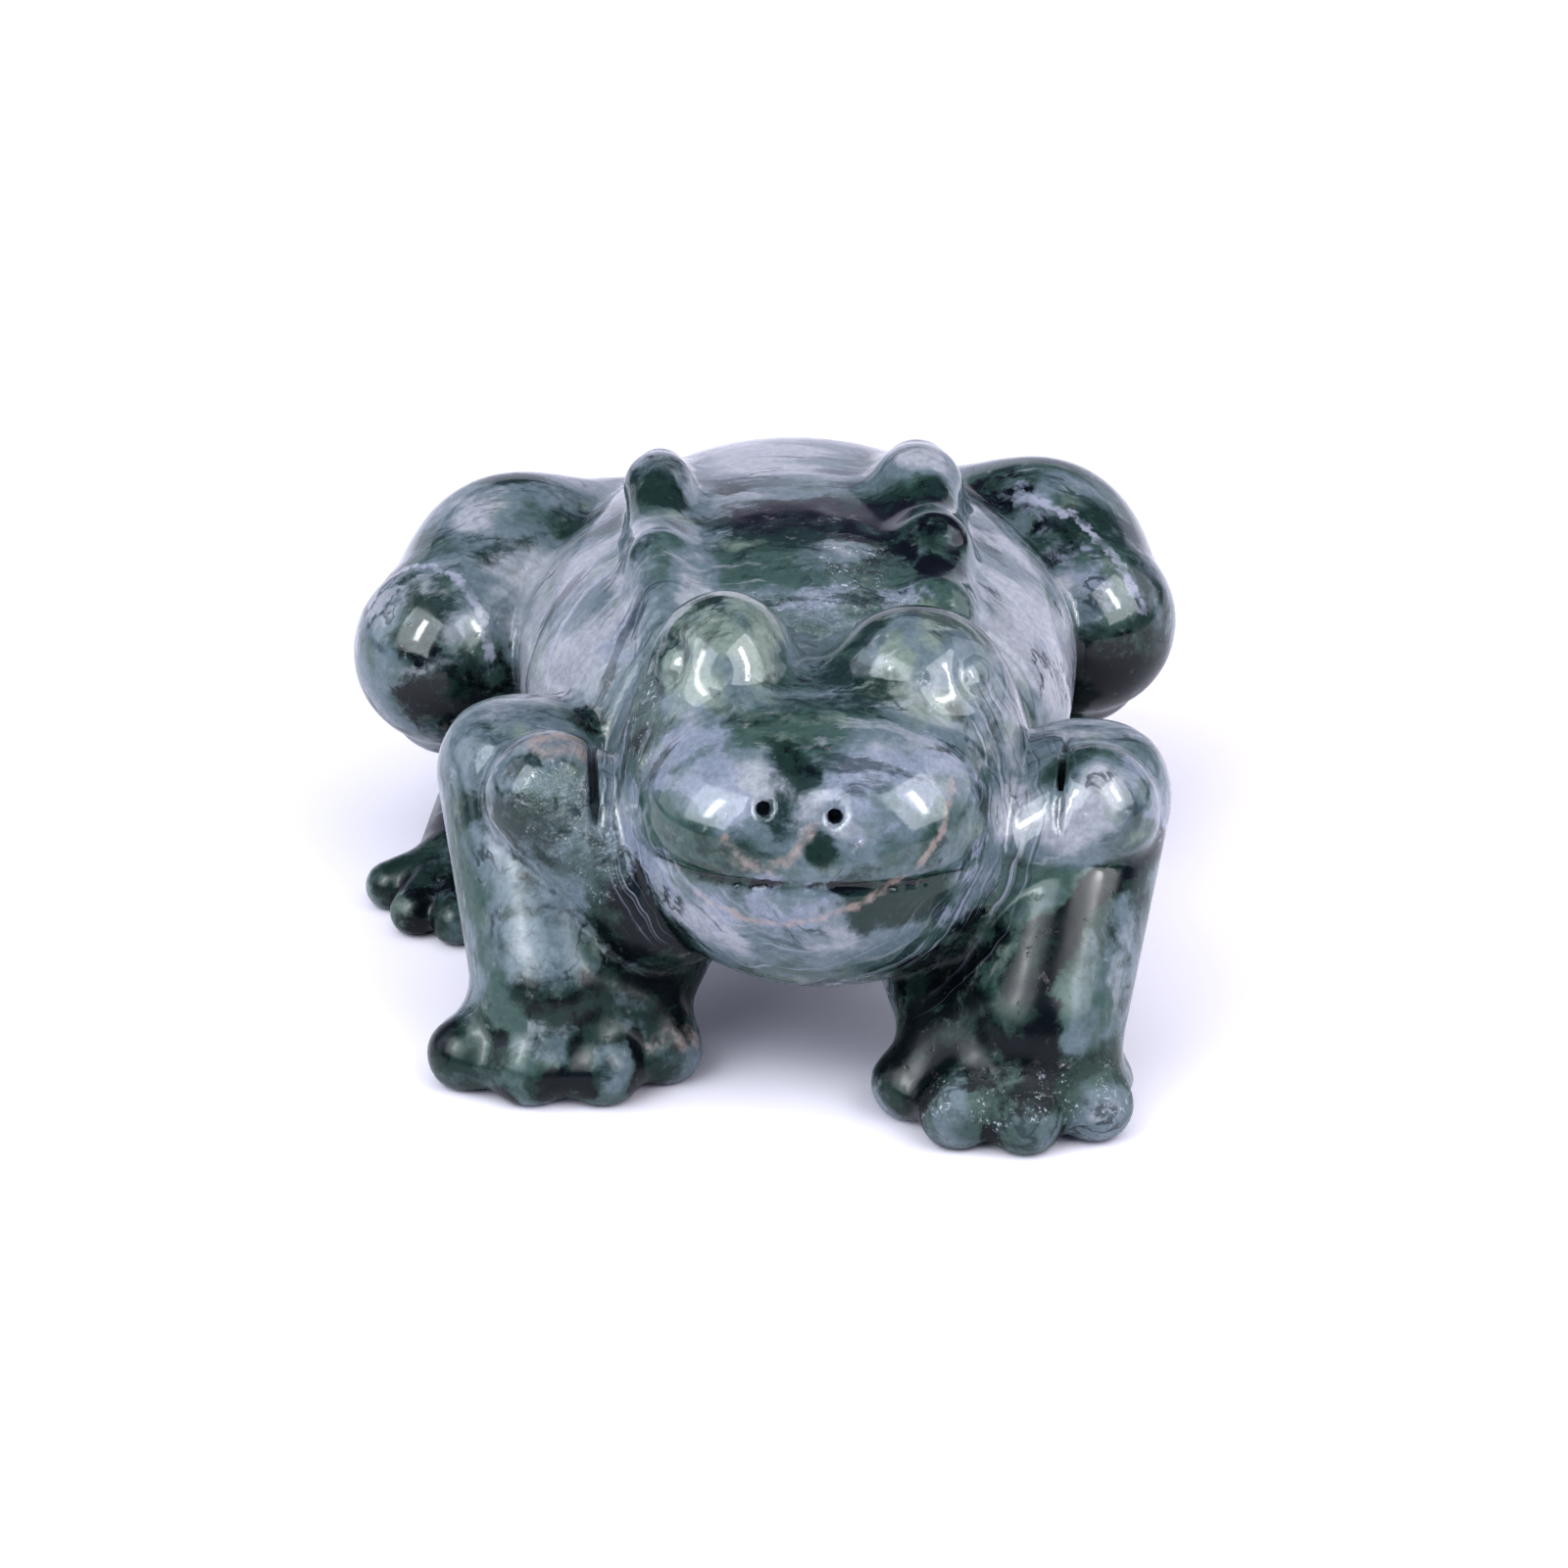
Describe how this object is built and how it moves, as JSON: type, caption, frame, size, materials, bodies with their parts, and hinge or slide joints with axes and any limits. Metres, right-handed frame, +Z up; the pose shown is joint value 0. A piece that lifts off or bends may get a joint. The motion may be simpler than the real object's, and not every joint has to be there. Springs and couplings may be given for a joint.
{
  "type": "frog figurine",
  "caption": "Crawling frog figurine carved from one piece of polished mottled jade, standing on four flat soles.",
  "frame": {"origin": "middle of the footprint, on the surface the frog stands on", "axes": "+Z up, -Y the way the frog faces, +X to the right of someone who looks the frog in the face"},
  "size_m": [0.0624, 0.0752, 0.0342],
  "materials": {
    "jade": "polished, mottled grey-green with near-black patches and thin pale and tan veins"
  },
  "bodies": {
    "root": {"carved_frog": "jade"}
  },
  "joints": []
}
